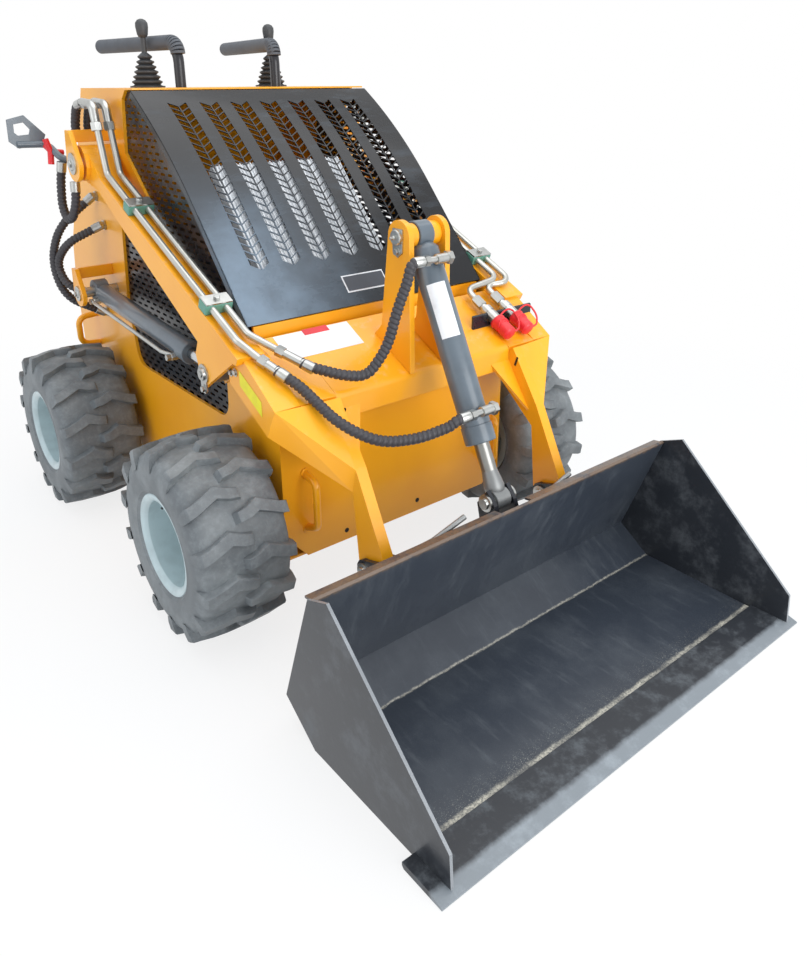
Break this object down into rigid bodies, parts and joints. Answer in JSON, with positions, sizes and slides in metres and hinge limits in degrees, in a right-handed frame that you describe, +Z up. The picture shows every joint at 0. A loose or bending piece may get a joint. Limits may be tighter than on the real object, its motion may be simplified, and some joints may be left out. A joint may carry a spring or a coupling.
{
  "type": "mini skid steer loader",
  "caption": "Compact wheeled skid steer loader with a curved vented engine hood, hydraulic lift boom, tilt cylinder, quick-attach plate and an open earth bucket.",
  "frame": {"origin": "on the ground under the middle of the machine's length and width", "axes": "+Z up; -Y is the machine's forward, towards the bucket; +X is the driver's left; the names' left is the -X side, which is the left of the picture"},
  "size_m": [1.1672, 1.986, 1.3351],
  "materials": {
    "yellow_paint": "satin",
    "black_paint": "satin",
    "bright_steel": "satin",
    "grey_paint": "satin",
    "engine": "rough",
    "black_plastic": "matte",
    "grip_grey": "matte",
    "hose_rubber": "matte",
    "chrome": "polished",
    "green_plastic": "matte",
    "tyre_rubber": "matte",
    "silver_paint": "satin"
  },
  "bodies": {
    "chassis": {"frame_sides": "yellow_paint", "front_plate": "yellow_paint", "front_deck": "yellow_paint", "frame_floor": "yellow_paint", "rear_sheet": "yellow_paint", "dash_plate": "yellow_paint", "hood_cover": "black_paint", "side_screens": "black_paint", "engine_block": "engine", "wheel_motors": "bright_steel", "pivot_brackets": "yellow_paint", "frame_pins": "bright_steel", "control_levers": "black_plastic", "hand_bars": "grip_grey"},
    "boom": {"boom_arms": "yellow_paint", "boom_boxes": "yellow_paint", "boom_legs": "yellow_paint", "boom_knees": "yellow_paint", "boom_top_plate": "yellow_paint", "tilt_top_pin": "bright_steel", "bucket_pins": "bright_steel", "arm_pipes": "chrome", "pipe_clamps": "green_plastic", "tilt_hoses": "hose_rubber", "couplers": "bright_steel"},
    "bucket": {"quick_attach_plate": "black_paint", "bucket_shell": "black_paint", "bucket_sides": "black_paint", "cutting_edge": "grey_paint"},
    "lift_barrel_left": {"lift_barrel_left": "grey_paint"},
    "lift_barrel_right": {"lift_barrel_right": "grey_paint"},
    "lift_rod_left": {"lift_rod_left": "chrome"},
    "lift_rod_right": {"lift_rod_right": "chrome"},
    "tilt_barrel": {"tilt_barrel": "grey_paint"},
    "tilt_rod": {"tilt_rod": "chrome"},
    "wheel_front_left": {"tyre_front_left": "tyre_rubber", "rim_front_left": "silver_paint"},
    "wheel_front_right": {"tyre_front_right": "tyre_rubber", "rim_front_right": "silver_paint"},
    "wheel_rear_left": {"tyre_rear_left": "tyre_rubber", "rim_rear_left": "silver_paint"},
    "wheel_rear_right": {"tyre_rear_right": "tyre_rubber", "rim_rear_right": "silver_paint"}
  },
  "joints": [
    {"name": "boom_lift", "type": "hinge", "parent": "chassis", "child": "boom", "pos_m": [0, 0.53, 0.986], "axis": [-1, 0, 0], "range_deg": [0, 70]},
    {"name": "bucket_tilt", "type": "hinge", "parent": "boom", "child": "bucket", "pos_m": [0, -0.467, 0.226], "axis": [1, 0, 0], "range_deg": [-25, 70]},
    {"name": "tilt_barrel_swing", "type": "hinge", "parent": "boom", "child": "tilt_barrel", "pos_m": [0, -0.29, 0.866], "axis": [1, 0, 0], "range_deg": [-2, 2]},
    {"name": "tilt_rod_slide", "type": "slide", "parent": "tilt_barrel", "child": "tilt_rod", "axis": [0, -0.4432, -0.8964], "range_m": [-0.058, 0.158]},
    {"name": "lift_barrel_swing_left", "type": "hinge", "parent": "chassis", "child": "lift_barrel_left", "pos_m": [-0.388, 0.638, 0.63], "axis": [-1, 0, 0], "range_deg": [0, 53]},
    {"name": "lift_rod_slide_left", "type": "slide", "parent": "lift_barrel_left", "child": "lift_rod_left", "axis": [0, -0.9972, -0.0746], "range_m": [0, 0.34]},
    {"name": "lift_barrel_swing_right", "type": "hinge", "parent": "chassis", "child": "lift_barrel_right", "pos_m": [0.388, 0.638, 0.63], "axis": [-1, 0, 0], "range_deg": [0, 53]},
    {"name": "lift_rod_slide_right", "type": "slide", "parent": "lift_barrel_right", "child": "lift_rod_right", "axis": [0, -0.9972, -0.0746], "range_m": [0, 0.34]},
    {"name": "wheel_spin_front_left", "type": "hinge", "parent": "chassis", "child": "wheel_front_left", "pos_m": [-0.4756, -0.107, 0.2286], "axis": [1, 0, 0], "continuous": true},
    {"name": "wheel_spin_front_right", "type": "hinge", "parent": "chassis", "child": "wheel_front_right", "pos_m": [0.4756, -0.107, 0.2286], "axis": [1, 0, 0], "continuous": true},
    {"name": "wheel_spin_rear_left", "type": "hinge", "parent": "chassis", "child": "wheel_rear_left", "pos_m": [-0.4756, 0.7075, 0.2286], "axis": [1, 0, 0], "continuous": true},
    {"name": "wheel_spin_rear_right", "type": "hinge", "parent": "chassis", "child": "wheel_rear_right", "pos_m": [0.4756, 0.7075, 0.2286], "axis": [1, 0, 0], "continuous": true}
  ],
  "couplings": [
    {"joint": "tilt_barrel_swing", "follows": "bucket_tilt", "ratio": -0.005},
    {"joint": "tilt_rod_slide", "follows": "bucket_tilt", "m_per_rad": 0.1268},
    {"joint": "lift_barrel_swing_left", "follows": "boom_lift", "ratio": 0.747},
    {"joint": "lift_rod_slide_left", "follows": "boom_lift", "m_per_rad": 0.2758},
    {"joint": "lift_barrel_swing_right", "follows": "boom_lift", "ratio": 0.747},
    {"joint": "lift_rod_slide_right", "follows": "boom_lift", "m_per_rad": 0.2758}
  ]
}
